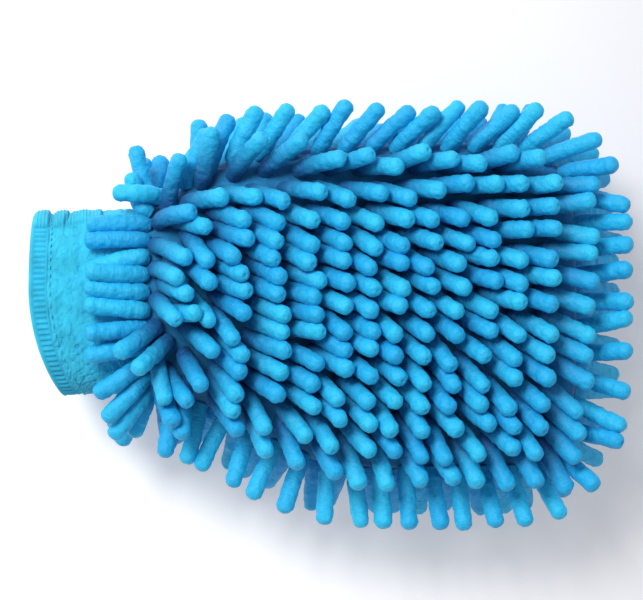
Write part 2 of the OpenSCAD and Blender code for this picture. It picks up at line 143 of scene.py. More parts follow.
def make_floor():
    """White paper with painted light: it greys a little past the fingertips as a painted falloff of
    light, and glows faintly to lift the shadows on it.
    """
    bpy.ops.mesh.primitive_plane_add(size=8)
    floor = bpy.context.object
    floor.name = "floor"
    material, tree, shader = new_material("floor_paper_painted_light", (0.90, 0.90, 0.93), 0.75)
    place = tree.nodes.new("ShaderNodeSeparateXYZ")
    link(tree, tree.nodes.new("ShaderNodeTexCoord").outputs["Object"], place.inputs[0])
    # painted falloff of light: the paper darkens towards the fingertips (+X) and a little towards
    # +Y
    slope = math_node(tree, "MULTIPLY_ADD", place.outputs["Y"], 0.04, place.outputs["X"])
    shade = math_node(tree, "MULTIPLY_ADD", slope, 4.4, 0.3)
    painted_falloff = colour_ramp(tree, shade, [(0.1, (0.87, 0.87, 0.89)), (0.9, (0.61, 0.61, 0.64))])
    link(tree, painted_falloff, shader.inputs["Base Color"])
    shader.inputs["Specular IOR Level"].default_value = 0.15
    # painted light: the paper glows faintly, which lifts the shadows cast on it
    shader.inputs["Emission Color"].default_value = (0.97, 0.97, 1.0, 1)
    shader.inputs["Emission Strength"].default_value = 0.26
    floor.data.materials.append(material)


# ======================= materials =======================


def new_material(name, colour, roughness):
    """A material with one Principled shader, as (material, its node tree, the shader)."""
    material = bpy.data.materials.new(name)
    material.use_nodes = True
    tree = material.node_tree
    shader = tree.nodes["Principled BSDF"]
    shader.inputs["Base Color"].default_value = (*colour, 1)
    shader.inputs["Roughness"].default_value = roughness
    return material, tree, shader


def link(tree, out, into):
    tree.links.new(out, into)


def add(tree, kind, **inputs):
    node = tree.nodes.new(kind)
    for key, value in inputs.items():
        node.inputs[key].default_value = value
    return node


def attribute(tree, name):
    node = tree.nodes.new("ShaderNodeAttribute")
    node.attribute_name = name
    return node.outputs["Fac"]


def noise(tree, scale_per_mm, detail, roughness=0.5):
    """Noise in the piece's own frame with so many cells a millimetre."""
    scale = scale_per_mm / MM
    node = add(tree, "ShaderNodeTexNoise", Scale=scale, Detail=detail, Roughness=roughness)
    link(tree, tree.nodes.new("ShaderNodeTexCoord").outputs["Object"], node.inputs["Vector"])
    return node.outputs["Fac"]


def math_node(tree, operation, *values):
    node = tree.nodes.new("ShaderNodeMath")
    node.operation = operation
    for value, socket in zip(values, node.inputs):
        if isinstance(value, bpy.types.NodeSocket):
            link(tree, value, socket)
        else:
            socket.default_value = value
    return node.outputs[0]


def colour_ramp(tree, factor, stops):
    """A ramp through (position, colour) stops."""
    ramp = tree.nodes.new("ShaderNodeValToRGB")
    while len(ramp.color_ramp.elements) < len(stops):
        ramp.color_ramp.elements.new(0.5)
    for element, (position, colour) in zip(ramp.color_ramp.elements, stops):
        element.position = position
        element.color = (*colour, 1)
    link(tree, factor, ramp.inputs["Fac"])
    return ramp.outputs["Color"]


def product(tree, first, *others):
    """The colours multiplied with each other."""
    for other in others:
        node = tree.nodes.new("ShaderNodeMix")
        node.data_type = "RGBA"
        node.blend_type = "MULTIPLY"
        sockets = {s.name: s for s in node.inputs if s.enabled}
        sockets["Factor"].default_value = 1.0
        link(tree, first, sockets["A"])
        link(tree, other, sockets["B"])
        first = [s for s in node.outputs if s.enabled][0]
    return first


def bump(tree, height, strength, distance_mm, shader=None, before=None):
    """A bump over the one before it, if any, that goes into the shader, if any."""
    node = add(tree, "ShaderNodeBump", Strength=strength, Distance=distance_mm * MM)
    link(tree, height, node.inputs["Height"])
    if before is not None:
        link(tree, before, node.inputs["Normal"])
    if shader is not None:
        link(tree, node.outputs["Normal"], shader.inputs["Normal"])
    return node.outputs["Normal"]


def chenille_material():
    """Cut microfibre pile in fine rings; each strand has its own tone, and painted shade darkens it
    to its root.
    """
    material, tree, shader = new_material("chenille_pile", (0.02, 0.50, 0.83), 0.5)
    tones = [(0.0, (0.006, 0.448, 0.860)), (1.0, (0.019, 0.605, 0.955))]
    base = colour_ramp(tree, attribute(tree, "tone"), tones)
    fluff = noise(tree, 1.1, 4, 0.65)
    turns = math_node(tree, "MULTIPLY", attribute(tree, "along"), 2 * math.pi / RIDGE_PITCH)
    wander = math_node(tree, "MULTIPLY", noise(tree, 0.35, 2), 7.0)
    ridges = math_node(tree, "SINE", math_node(tree, "ADD", turns, wander))
    tuft = colour_ramp(tree, fluff, [(0.32, (0.74, 0.82, 0.87)), (0.62, (1.0, 1.0, 1.0))])
    # painted shade, slight, in the troughs between the pile's rings
    crest = math_node(tree, "MULTIPLY_ADD", ridges, 0.5, 0.5)
    ring = colour_ramp(tree, crest, [(0.0, (0.95, 0.97, 0.98)), (0.6, (1.0, 1.0, 1.0))])
    # painted shade: the pile darkens from 0.86 of the way up each strand down to its root, where
    # neighbours would shade it
    root_shade_stops = [(0.20, (0.10, 0.20, 0.34)), (0.86, (1.0, 1.0, 1.0))]
    painted_root_shade = colour_ramp(tree, attribute(tree, "height"), root_shade_stops)
    link(tree, product(tree, base, tuft, ring, painted_root_shade), shader.inputs["Base Color"])
    shader.inputs["Sheen Weight"].default_value = 0.05
    shader.inputs["Sheen Roughness"].default_value = 0.6
    shader.inputs["Sheen Tint"].default_value = (0.6, 0.95, 1.0, 1)
    shader.inputs["Specular IOR Level"].default_value = 0.4
    bump(tree, fluff, 0.8, 0.5, shader, before=bump(tree, ridges, 0.15, 0.12))
    return material


def cloth_material(name, colour, threads_per_mm, sheen):
    """Plain cloth with a fine knit or weave and a faint unevenness of tone."""
    material, tree, shader = new_material(name, colour, 0.9)
    darker = tuple(0.72 * c for c in colour)
    cloudy = colour_ramp(tree, noise(tree, 0.12, 3), [(0.35, darker), (0.65, colour)])
    threads = noise(tree, threads_per_mm, 2)
    grain = colour_ramp(tree, threads, [(0.3, (0.8, 0.86, 0.9)), (0.7, (1, 1, 1))])
    link(tree, product(tree, cloudy, grain), shader.inputs["Base Color"])
    shader.inputs["Sheen Weight"].default_value = sheen
    shader.inputs["Sheen Roughness"].default_value = 0.5
    shader.inputs["Specular IOR Level"].default_value = 0.2
    bump(tree, threads, 0.5, 0.2, shader)
    return material


def knit_material(name, colour, run_pitch, girth_pitch, depth):
    """Knitted cloth: small loops laid out by each point's run and girth, with painted shade in its
    hollows.
    """
    material, tree, shader = new_material(name, colour, 0.85)
    waves = []
    for key, pitch in (("run", run_pitch), ("girth", girth_pitch)):
        turns = math_node(tree, "MULTIPLY", attribute(tree, key), 2 * math.pi / pitch)
        waves.append(math_node(tree, "SINE", turns))
    loops = math_node(tree, "MULTIPLY", *waves)
    fibres = noise(tree, 2.2, 3)
    height = math_node(tree, "MULTIPLY_ADD", fibres, 0.8, loops)
    darker = tuple(c * 0.8 for c in colour)
    cloudy = colour_ramp(tree, noise(tree, 0.16, 3), [(0.35, darker), (0.6, colour)])
    grey = math_node(tree, "MULTIPLY_ADD", height, 0.25, 0.5)
    grain = colour_ramp(tree, grey, [(0.2, (0.80, 0.87, 0.91)), (0.6, (1, 1, 1))])
    # painted shade: the 'shade' attribute darkens the furrows, rib valleys and dips
    shades = [(0.0, (0.52, 0.74, 0.86)), (1.0, (1.0, 1.0, 1.0))]
    hollows = colour_ramp(tree, attribute(tree, "shade"), shades)
    link(tree, product(tree, cloudy, grain, hollows), shader.inputs["Base Color"])
    shader.inputs["Sheen Weight"].default_value = 0.15
    shader.inputs["Sheen Roughness"].default_value = 0.5
    shader.inputs["Specular IOR Level"].default_value = 0.15
    bump(tree, height, 0.6, depth, shader)
    return material


# ======================= meshes =======================


def mesh_piece(name, points, quads, material, triangles=None, **attributes):
    """A piece from points in millimetres and arrays of faces' corners, riding on the mitt."""
    mesh = bpy.data.meshes.new(name)
    groups = [g for g in (quads, triangles) if g is not None and len(g)]
    corners = np.concatenate([np.asarray(g).ravel() for g in groups])
    sizes = np.concatenate([np.full(len(g), np.asarray(g).shape[1]) for g in groups])
    mesh.vertices.add(len(points))
    mesh.vertices.foreach_set("co", (np.asarray(points) * MM).astype(np.float32).ravel())
    mesh.loops.add(len(corners))
    mesh.loops.foreach_set("vertex_index", corners.astype(np.int32))
    mesh.polygons.add(len(sizes))
    starts = np.concatenate([[0], np.cumsum(sizes)[:-1]]).astype(np.int32)
    mesh.polygons.foreach_set("loop_start", starts)
    mesh.polygons.foreach_set("use_smooth", np.ones(len(sizes), bool))
    mesh.update(calc_edges=True)
    for key, values in attributes.items():
        held = mesh.attributes.new(key, "FLOAT", "POINT")
        held.data.foreach_set("value", values.astype(np.float32))
    mesh.materials.append(material)
    piece = bpy.data.objects.new(name, mesh)
    bpy.context.scene.collection.objects.link(piece)
    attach(piece, BODY)
    return piece


def solids(obj):
    """Vertex positions of each separate closed solid of a CAD node, in millimetres."""
    co = np.array([v.co for v in obj.data.vertices], float) / MM
    spots, same = np.unique(np.round(co, 3), axis=0, return_inverse=True)
    same = same.ravel()
    edges = same[np.array([e.vertices[:] for e in obj.data.edges])]
    label = np.arange(len(spots))
    while True:
        low = np.minimum(label[edges[:, 0]], label[edges[:, 1]])
        new = label.copy()
        np.minimum.at(new, edges[:, 0], low)
        np.minimum.at(new, edges[:, 1], low)
        new = new[new]
        if (new == label).all():
            return [spots[label == k] for k in np.unique(label)]
        label = new


def surface_of(*names):
    """A search tree over the faces of CAD nodes, in millimetres."""
    points, faces = [], []
    for name in names:
        mesh = nodes[name].data
        start = len(points)
        points += [v.co / MM for v in mesh.vertices]
        faces += [[start + i for i in p.vertices] for p in mesh.polygons]
    return BVHTree.FromPolygons(points, faces)


def closed_grid(rings, around, close_rings=False):
    """Quads of a grid of rings, each closed on itself; close_rings joins the last to the first."""
    spans = rings if close_rings else rings - 1
    ring, spot = np.meshgrid(np.arange(spans), np.arange(around), indexing="ij")
    nxt = (spot + 1) % around
    above = (ring + 1) % rings
    return np.stack(
        [ring * around + spot, ring * around + nxt, above * around + nxt, above * around + spot], -1
    ).reshape(-1, 4)


def wave_noise(seed, *axes, octaves=3):
    """Smooth noise of unit spread from random plane waves; an axis is (coordinate, cells a mm)."""
    rng = np.random.RandomState(seed)
    total = 0
    for octave in range(octaves):
        for _ in range(14):
            ways = rng.normal(0, 1, len(axes))
            phase = sum(w * c * k * 2.2**octave for w, (c, k) in zip(ways, axes)) * 2 * math.pi
            total = total + np.sin(phase + rng.uniform(0, 2 * math.pi)) / 1.8**octave
    return total / np.std(total)


# ======================= the sewn shell =======================


def smooth(t):
    t = np.clip(t, 0, 1)
    return t * t * (3 - 2 * t)


def shoulders(x):
    """How far the upper and the lower side have widened: at once, and more gently."""
    gain = POUCH_HALF_W * SHOULDER_SHARE - WRIST_HALF_W
    t = np.clip(x / SHOULDER_LEN, 0, 1)
    return gain * (1 - (1 - t) ** FLARE_POWER), gain * smooth(t)


def plain_half_w(x):
    upper, lower = shoulders(x)
    full = POUCH_HALF_W * (1 - SHOULDER_SHARE) * smooth(x / (POUCH_LEN - CAP_LEN))
    return WRIST_HALF_W + (upper + lower) / 2 + full


def sway(x):
    """How far the mitt's axis lies off that of the wrist."""
    upper, lower = shoulders(x)
    return (upper - lower) / 2 - PALM_DROP * smooth(x / SHOULDER_LEN)


def plain_half_t(x):
    return WRIST_HALF_T + (FINGER_HALF_T - WRIST_HALF_T) * smooth(x / (POUCH_LEN - CAP_LEN))


def section(x, w, h, angle):
    """Point of the rounded section of half width w and half height h, in the frame."""
    c, s = np.cos(angle), np.sin(angle)
    y = w * np.sign(c) * np.abs(c) ** (2 / SECTION_POWER)
    z = h * np.sign(s) * np.abs(s) ** (2 / SECTION_POWER)
    return np.stack(np.broadcast_arrays(x, y + sway(x), z), -1) + ORIGIN


def grid_normals(points, closed):
    """Unit normals of a (ring, spot, xyz) grid, out of rings that turn from +Y to +Z."""
    along = np.gradient(points, axis=0)
    if closed:
        round_it = np.roll(points, -1, 1) - np.roll(points, 1, 1)
    else:
        round_it = np.gradient(points, axis=1)
    normals = np.cross(round_it, along)
    return normals / np.maximum(np.linalg.norm(normals, axis=2, keepdims=True), 1e-9)


def surface_lengths(points):
    """How far each point of a (ring, spot, xyz) grid lies along its run and round its girth."""
    run = np.cumsum(np.linalg.norm(np.diff(points, axis=0, prepend=points[:1]), axis=2), axis=0)
    steps = np.linalg.norm(np.diff(points, axis=1, prepend=points[:, :1]), axis=2)
    girth = np.cumsum(steps, axis=1)
    return {"run": np.broadcast_to(run.mean(1, keepdims=True), run.shape), "girth": girth}


def shell_piece(name, outer, thickness, closed, material, **more):
    """A cloth of even thickness with this outer surface: rings of points, closed or open."""
    inner = outer - grid_normals(outer, closed) * thickness
    places = {**surface_lengths(outer), **more}
    if closed:
        rings = np.concatenate([outer, inner[::-1]], 0)
        quads = closed_grid(*rings.shape[:2], close_rings=True)
        places = {key: np.concatenate([v, v[::-1]], 0).ravel() for key, v in places.items()}
        return mesh_piece(name, rings.reshape(-1, 3), quads, material, **places)
    places = {key: np.concatenate([v, v[:, ::-1]], 1).ravel() for key, v in places.items()}
    rings = np.concatenate([outer, inner[:, ::-1]], 1)
    count, around = rings.shape[:2]
    quads = closed_grid(count, around)
    half = around // 2
    a = np.arange(half - 1)
    cap = np.stack([around - 1 - a, around - 2 - a, a + 1, a], -1)
    last = (count - 1) * around + cap[:, ::-1]
    faces = np.concatenate([quads, cap, last])
    return mesh_piece(name, rings.reshape(-1, 3), faces, material, **places)


PANEL_STATIONS = 230
PANEL_ARC = 170
STRAIGHT_SHARE = 0.62
TIP_TURN = math.radians(89.998)
PANEL_OVERLAP = 4.0


def panel_surface(side, inset, edge_inset, start):
    """Outer surface of one half of the pouch, with x and the place across, from -1 to 1."""
    t = np.linspace(0, 1, PANEL_STATIONS)
    cap_x = POUCH_LEN - CAP_LEN
    end = POUCH_LEN - inset - edge_inset
    bend = TIP_TURN * np.clip((t - STRAIGHT_SHARE) / (1 - STRAIGHT_SHARE), 0, 1)
    x = np.where(
        t < STRAIGHT_SHARE,
        start + (cap_x - start) * (t / STRAIGHT_SHARE) ** 1.3,
        cap_x + (end - cap_x) * np.sin(bend) ** (2 / CAP_POWER),
    )[:, None]
    share = (np.cos(bend) ** (2 / CAP_POWER))[:, None]
    angle = np.linspace(0, math.pi, PANEL_ARC)[None]
    w = (plain_half_w(x) - inset - edge_inset * smooth((x - start) / 30)) * share
    points = section(x, w, (plain_half_t(x) - inset) * share, angle)
    points[..., 2] = ORIGIN[2] + side * (points[..., 2] - ORIGIN[2])
    if side < 0:
        points = points[:, ::-1]
    across = (points[..., 1] - ORIGIN[1] - sway(x)) / plain_half_w(x)
    return points, np.broadcast_to(x, across.shape), across


def make_backing(side, name, material):
    """Backing cloth: gathered at the wrist, where it overlaps, and drawn down under each row."""
    points, x, across = panel_surface(side, 0, 0, -PANEL_OVERLAP)
    normals = grid_normals(points, False)
    y = across * plain_half_w(x)
    folds = np.sin(y * 1.15 + 1.3 * wave_noise(3 + side, (y, 0.05), (x, 0.02)))
    gathers = 0.5 * folds * np.exp(-x.clip(0) / 10)
    pitch = (FIRST_ROW_V - LAST_ROW_V) / (ROWS - 1)
    from_row = (across - LAST_ROW_V) / pitch
    from_row = (from_row - np.round(from_row)) * pitch * plain_half_w(x)
    stitches = 0.7 + 0.3 * np.cos(2 * math.pi * x / STITCH_PITCH)
    seams = -0.35 * np.exp(-((from_row / 0.8) ** 2)) * stitches
    pillow = 0.22 * wave_noise(8 + side, (x, 0.08), (y, 0.08))
    fade = smooth((POUCH_LEN - x) / 12) * smooth((1.02 - np.abs(across)) / 0.06)
    inward = np.minimum((gathers - 0.5 + seams + pillow - 0.4) * fade, 0)
    inward = np.maximum(inward, -0.35 - 1.6 * smooth((x - 10) / 10))
    points = points + normals * inward[..., None]
    piece = shell_piece(name, points, BACKING_T * 0.7, False, material)
    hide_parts(name.replace("cloth_", ""))
    return piece


def make_lining(side, name, material):
    """Thin lining that hangs a little slack inside the backing."""
    points, x, across = panel_surface(side, LINING_INSET, ALLOWANCE_W, 2)
    normals = grid_normals(points, False)
    y = across * plain_half_w(x)
    slack = 0.6 + 0.35 * wave_noise(20 + side, (x, 0.03), (y, 0.07))
    fade = smooth((POUCH_LEN - 8 - x) / 20)
    points = points - normals * (np.clip(slack, 0, 1.5) * fade)[..., None]
    piece = shell_piece(name, points, LINING_T, False, material)
    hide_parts(name.replace("cloth_", ""))
    return piece


# ======================= the cuff =======================

CUFF_AROUND = 756
RIBS = 84
DROOP = 3.2


def drooped(points):
    """The same points, with the upper side of the cuff's mouth drawn down a little."""
    x, y = points[..., 0] - ORIGIN[0], points[..., 1] - ORIGIN[1]
    share = (1 - smooth((x + CUFF_LEN) / 44)) * smooth((y + 8) / 46)
    return points - share[..., None] * np.array([0, DROOP, 0])


def cuff_surface(distances, inset):
    """Rings at distances from the mouth, closed round the wrist: points, x and place round."""
    angle = np.linspace(0, 2 * math.pi, CUFF_AROUND, endpoint=False)[None]
    deep = BACKING_T + 0.2 + inset
    c = np.cos(angle)
    y = (WRIST_HALF_W - deep) * np.sign(c) * np.abs(c) ** (2 / SECTION_POWER)
    drawn = np.clip((6 - y) / (WRIST_HALF_W + 6), 0, 1) ** 2
    slower = 1 - drawn * MOUTH_SKEW / (CUFF_LEN + CUFF_TUCK)
    x = -CUFF_LEN + MOUTH_SKEW * drawn + distances[:, None] * slower
    rim = 1.2 * (1 - smooth((x + CUFF_LEN) / 26)) - deep
    points = drooped(section(x, plain_half_w(x) + rim, plain_half_t(x) + rim, angle))
    girth = np.cumsum(np.linalg.norm(np.diff(points[0], axis=0, append=points[0][:1]), axis=1))
    return points, x, np.broadcast_to(girth, x.shape)


def furrows(field, width):
    """Narrow valleys along the zero lines of a smooth field."""
    return np.exp(-((field / width) ** 2))


def make_cuff_knit(material):
    """Knitted tube: short upright furrows, slanting creases, and a slight bulge in its middle."""
    distances = np.linspace(HEM_W - 2.5, CUFF_LEN + CUFF_TUCK, 190)
    points, x, girth = cuff_surface(distances, 0)
    normals = grid_normals(points, True)
    upright = wave_noise(31, (x, 0.20), (girth, 0.055), octaves=2)
    swell = wave_noise(33, (x, 0.11), (girth, 0.07), octaves=2)
    tooth = np.abs(((girth / 15) % 2) - 1)
    zigzag = np.sin(2 * math.pi * (x / 9.5 + 1.5 * tooth) + 0.7 * swell)
    slant = wave_noise(32, (x + 0.8 * girth, 0.05), (x - 0.8 * girth, 0.012), octaves=1)
    hollows = 0.3 * furrows(upright, 0.2) + 0.24 * furrows(zigzag, 0.16)
    hollows = hollows + 0.2 * furrows(slant, 0.1)
    relief = 0.2 * np.clip(swell, -1.5, 1.2) - hollows
    fade = smooth((-x - 4.5) / 4) * smooth((distances[:, None] - HEM_W + 1.5) / 2)
    # painted shade in the furrows and creases, read by the knit material
    shade = 1 - 0.5 * np.clip(hollows / 0.34, 0, 1) * fade
    bulge = 0.6 * np.sin(np.pi * np.clip((x + CUFF_LEN - HEM_W) / (CUFF_LEN - HEM_W), 0, 1))
    points = points + normals * ((relief + bulge) * fade)[..., None]
    piece = shell_piece("knit_cuff", points, KNIT_T * 0.8, True, material, shade=shade)
    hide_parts("cuff_knit")
    return piece


def make_hem(material):
    """Folded band: a rolled edge at the mouth, cross ribs, and a groove where it is sewn down."""
    count = 64
    turn = np.linspace(0, 2 * math.pi, count, endpoint=False)
    run = HEM_W / 2 * (1 - np.sign(np.cos(turn)) * np.abs(np.cos(turn)) ** 0.55)
    lift = 1.15 * np.sign(np.sin(turn)) * np.abs(np.sin(turn)) ** 0.6
    rings, shades = [], []
    for distance, rise in zip(run, lift):
        ring, _, girth = cuff_surface(np.array([distance]), 0.55 - rise)
        valleys = (0.5 - 0.5 * np.cos(2 * math.pi * girth[0] / girth[0][-1] * RIBS)) ** 1.6
        valleys = valleys * smooth((distance - 1.7) / 0.5) * smooth((HEM_W - 0.7 - distance) / 0.5)
        rolled = 0.35 * math.exp(-(((distance - 0.8) / 0.8) ** 2))
        groove = -0.35 * math.exp(-(((distance - 1.75) / 0.28) ** 2))
        outside = max(math.copysign(1, rise), 0)
        out = (rolled + groove - 0.5 * valleys) * outside
        # painted shade in the valleys between the ribs
        shades.append(1 - valleys * outside)
        away = ring[0] - ORIGIN
        away[:, 0] = 0
        away /= np.linalg.norm(away, axis=1, keepdims=True)
        rings.append(ring[0] + away * np.reshape(out, (-1, 1)))
    points = np.array(rings)[::-1]
    quads = closed_grid(count, CUFF_AROUND, close_rings=True)
    places = {key: v.ravel() for key, v in surface_lengths(points).items()}
    shade = np.array(shades)[::-1].ravel()
    piece = mesh_piece("hem_band", points.reshape(-1, 3), quads, material, shade=shade, **places)
    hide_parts("cuff_hem_band")
    return piece


# ======================= threads and seams =======================

THREAD_SIDES = 10
PLY_TWIST = 1.32


def carried_frames(centre):
    """Two crosswise directions along (path, point, xyz) centrelines, without twist."""
    tangent = np.gradient(centre, axis=1)
    tangent /= np.linalg.norm(tangent, axis=2, keepdims=True)
    side = np.cross(tangent[:, 0], [0.31, 0.52, 0.80])
    sides = []
    for k in range(centre.shape[1]):
        side = side - (side * tangent[:, k]).sum(1, keepdims=True) * tangent[:, k]
        side = side / np.linalg.norm(side, axis=1, keepdims=True)
        sides.append(side)
    sides = np.stack(sides, 1)
    return sides, np.cross(tangent, sides)


def thread_piece(name, paths, radius, material, node=None):
    """Plied threads along (path, point, xyz) centrelines, with rounded ends."""
    paths = np.asarray(paths, float)
    count, steps = paths.shape[:2]
    sides, ups = carried_frames(paths)
    run = np.concatenate([[0], np.cumsum(np.linalg.norm(np.diff(paths[0], axis=0), axis=1))])
    angle = np.linspace(0, 2 * math.pi, THREAD_SIDES, endpoint=False)
    plies = 1 + 0.16 * np.cos(2 * (angle[None] - run[:, None] / radius * PLY_TWIST))
    ends = np.clip(np.minimum(run, run[-1] - run) / radius, 0, 1)
    size = radius * np.sqrt(np.maximum(1 - (1 - ends) ** 2, 0.02))[:, None] * plies
    spin = sides[:, :, None] * np.cos(angle)[:, None] + ups[:, :, None] * np.sin(angle)[:, None]
    skin = paths[:, :, None] + spin * size[None, :, :, None]
    per = steps * THREAD_SIDES
    quads = closed_grid(steps, THREAD_SIDES)
    caps = np.array([np.arange(THREAD_SIDES)[::-1], np.arange(THREAD_SIDES) + per - THREAD_SIDES])
    starts = (np.arange(count) * per)[:, None, None]
    quads = (quads[None] + starts).reshape(-1, 4)
    caps = (caps[None] + starts).reshape(-1, THREAD_SIDES)
    piece = mesh_piece(name, skin.reshape(-1, 3), quads, material, caps)
    if node:
        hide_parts(node)
    return piece


def make_stitches(node, rise, radius, material):
    """One bowed stitch for each straight one of the CAD node; rise lifts its middle."""
    ends = drooped(np.array([strand_axis(points) for points in solids(nodes[node])]))
    shift = np.array([0, ORIGIN[1], ORIGIN[2]])
    middle = ends.mean(1)
    out = middle - shift
    out[:, 0] = 0
    out /= np.linalg.norm(out, axis=1, keepdims=True)
    t = np.linspace(-0.08, 1.08, 13)[None, :, None]
    paths = ends[:, :1] * (1 - t) + ends[:, 1:] * t
    bow = (1 - (2 * t - 1) ** 2) * rise - 0.08
    thread_piece(f"thread_{node}", paths + out[:, None] * bow, radius, material, node)


def make_row_threads(side, name, material):
    """A running thread under each row of strands, between backing and lining."""
    paths = []
    for k in range(ROWS):
        v = 0.9 * (FIRST_ROW_V + (LAST_ROW_V - FIRST_ROW_V) * k / (ROWS - 1))
        x = np.linspace(CUFF_TUCK + 6, POUCH_LEN - CAP_LEN + CAP_LEN * 0.62 * (1 - v * v), 240)
        y = v * plain_half_w(x)
        cap = np.where(
            x > POUCH_LEN - CAP_LEN,
            np.maximum(1 - (np.maximum(x - POUCH_LEN + CAP_LEN, 0) / CAP_LEN) ** CAP_POWER, 0)
            ** (1 / CAP_POWER),
            1,
        )
        share = np.minimum(np.abs(y) / (plain_half_w(x) * cap), 1)
        z = plain_half_t(x) * cap * (1 - share**SECTION_POWER) ** (1 / SECTION_POWER)
        z = z - BACKING_T - 0.7 - 0.25 * np.cos(2 * math.pi * x / STITCH_PITCH)
        paths.append(np.stack([x, y + sway(x), side * z], -1) + ORIGIN)
    thread_piece(f"thread_{name}", paths, 0.28, material, name)


def make_side_seam(knit, thread):
    """Seam allowance of the cuff: a lumpy flap laid over onto the front, whipped with thread."""
    count = 150
    distances = np.linspace(0.5, 28, count)
    points, x, _ = cuff_surface(distances, 0)
    spots = np.arange(11, 73, 3)
    skin, out, x = (v[:, spots] for v in (points, grid_normals(points, True), x))
    across = np.linspace(-1, 1, len(spots))[None] / (1 - 0.25 * smooth((x + CUFF_LEN) / 26))
    dips = 0.85 * np.exp(-(((x + 42) / 1.1) ** 4))
    dips = dips + 0.8 * np.exp(-(((x + 35.6 + 0.9 * across) / 0.6) ** 2))
    from_end = np.minimum(distances - distances[0], distances[-1] - distances)
    ends = np.sqrt(1 - (1 - np.clip(from_end / 1.6, 0, 1)) ** 2)[:, None]
    height = 2.5 * np.clip(1 - np.abs(across) ** 5, 0, 1) ** 0.45 * ends * (1 - dips)
    height = height * (0.88 + 0.12 * np.sin(x * 0.8)) + 0.06 * np.cos(2 * math.pi * x / 1.5)
    outer = skin + out * (height + 0.1)[..., None]
    rings = np.concatenate([outer, (skin - out * 0.3)[:, ::-1]], 1)
    around = rings.shape[1]
    quads = closed_grid(count, around)
    caps = np.array([np.arange(around)[::-1], np.arange(around) + (count - 1) * around])
    # painted shade in the dips between the flap's lumps
    shade = np.concatenate([1 - dips, np.ones_like(dips)], 1).clip(0, 1)
    places = {key: v.ravel() for key, v in surface_lengths(rings).items()}
    places["shade"] = shade.ravel()
    flap = mesh_piece("side_seam", rings.reshape(-1, 3), quads, knit, caps, **places)
    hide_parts("cuff_side_seam")
    wide = np.concatenate([out, -out[:, ::-1]], 1) * 0.1 + rings
    share = np.linspace(0, 1, around)[:, None]
    loops = [wide[k] * (1 - share) + wide[k + 3] * share for k in range(9, count - 12, 7)]
    thread_piece("side_seam_overlock", loops, 0.16, thread, "cuff_side_stitching")


def pouch_outline(inset, count):
    """Evenly spaced points of the seam from the wrist round the fingertips, ways out, and run."""
    reach = POUCH_LEN - CAP_LEN
    turn = np.linspace(0, math.pi / 2, count)
    start = CUFF_TUCK + 2.7
    past = CAP_LEN * np.sin(turn) ** (2 / CAP_POWER)
    x = np.concatenate([np.linspace(start, reach, count), reach + past])
    cap = np.concatenate([np.ones(count), np.cos(turn) ** (2 / CAP_POWER)])
    y = plain_half_w(x) * cap
    y = np.concatenate([y + sway(x), (sway(x) - y)[::-1]])
    line = np.stack([np.concatenate([x, x[::-1]]), y], -1)
    keep = np.concatenate([[True], np.linalg.norm(np.diff(line, axis=0), axis=1) > 1e-3])
    line = line[keep]
    run = np.concatenate([[0], np.cumsum(np.linalg.norm(np.diff(line, axis=0), axis=1))])
    even = np.linspace(0, run[-1], 4 * count)
    line = np.stack([np.interp(even, run, line[:, k]) for k in (0, 1)], -1)
    along = np.gradient(line, axis=0)
    along /= np.linalg.norm(along, axis=1, keepdims=True)
    out = np.stack([-along[:, 1], along[:, 0]], -1)
    return line - out * inset, out, even


def make_perimeter_seam(cloth, thread):
    """Turned-in allowance of the two panels, with a wavy edge, and the seam's stitches on it."""
    line, out, run = pouch_outline(BACKING_T + 0.3, 220)
    around = 24
    angle = np.linspace(0, 2 * math.pi, around, endpoint=False)
    width = ALLOWANCE_W - 1.2
    wavy = 0.25 * np.sin(run * 0.9)[:, None]
    inward = width / 2 * (1 - np.sign(np.cos(angle)) * np.abs(np.cos(angle)) ** 0.5)
    z = 0.8 * np.sign(np.sin(angle)) * np.abs(np.sin(angle)) ** 0.7 * (0.4 + 0.6 * inward / width)
    inward = inward[None] + wavy * (inward / width)[None]
    flat = line[:, None] - out[:, None] * inward[..., None]
    points = np.concatenate([flat, np.broadcast_to(z, flat.shape[:2])[..., None]], -1) + ORIGIN
    caps = np.array([np.arange(around)[::-1], np.arange(around) + (len(line) - 1) * around])
    seam = mesh_piece(
        "edge_allowance", points.reshape(-1, 3), closed_grid(len(line), around), cloth, caps
    )
    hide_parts("perimeter_seam")
    make_stitches("perimeter_stitching", 0.1, 0.3, thread)


def make_wrist_overlock(thread):
    """Overlock loops all round the raw edges of the wrist seam."""
    count = 3200
    turn = np.linspace(0, 2 * math.pi, count)
    zigzag = np.sin(turn * 130)
    x = CUFF_TUCK + 1.4 + 1.1 * zigzag
    inset = BACKING_T + 1.1 + 0.35 * np.cos(turn * 130)
    path = section(x, plain_half_w(x) - inset, plain_half_t(x) - inset, turn)
    thread_piece("wrist_overlock_thread", path[None], 0.26, thread, "wrist_overlock")


def make_elastic():
    """Ribbed elastic inside the hem."""
    count = 24
    angle = np.linspace(0, 2 * math.pi, count, endpoint=False)
    rings = []
    for c, s in zip(np.cos(angle), np.sin(angle)):
        distance = 2.9 - 1.5 * math.copysign(abs(c) ** 0.4, c)
        inset = 0.62 - 0.42 * math.copysign(abs(s) ** 0.5, s)
        rings.append(cuff_surface(np.array([distance]), inset)[0][0])
    rings = np.array(rings)[::-1]
    material = cloth_material("elastic_rubber", (0.80, 0.82, 0.85), 1.8, 0.1)
    quads = closed_grid(count, CUFF_AROUND, close_rings=True)
    piece = mesh_piece("hem_elastic", rings.reshape(-1, 3), quads, material)
    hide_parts("cuff_elastic")


# ======================= laying the strands =======================

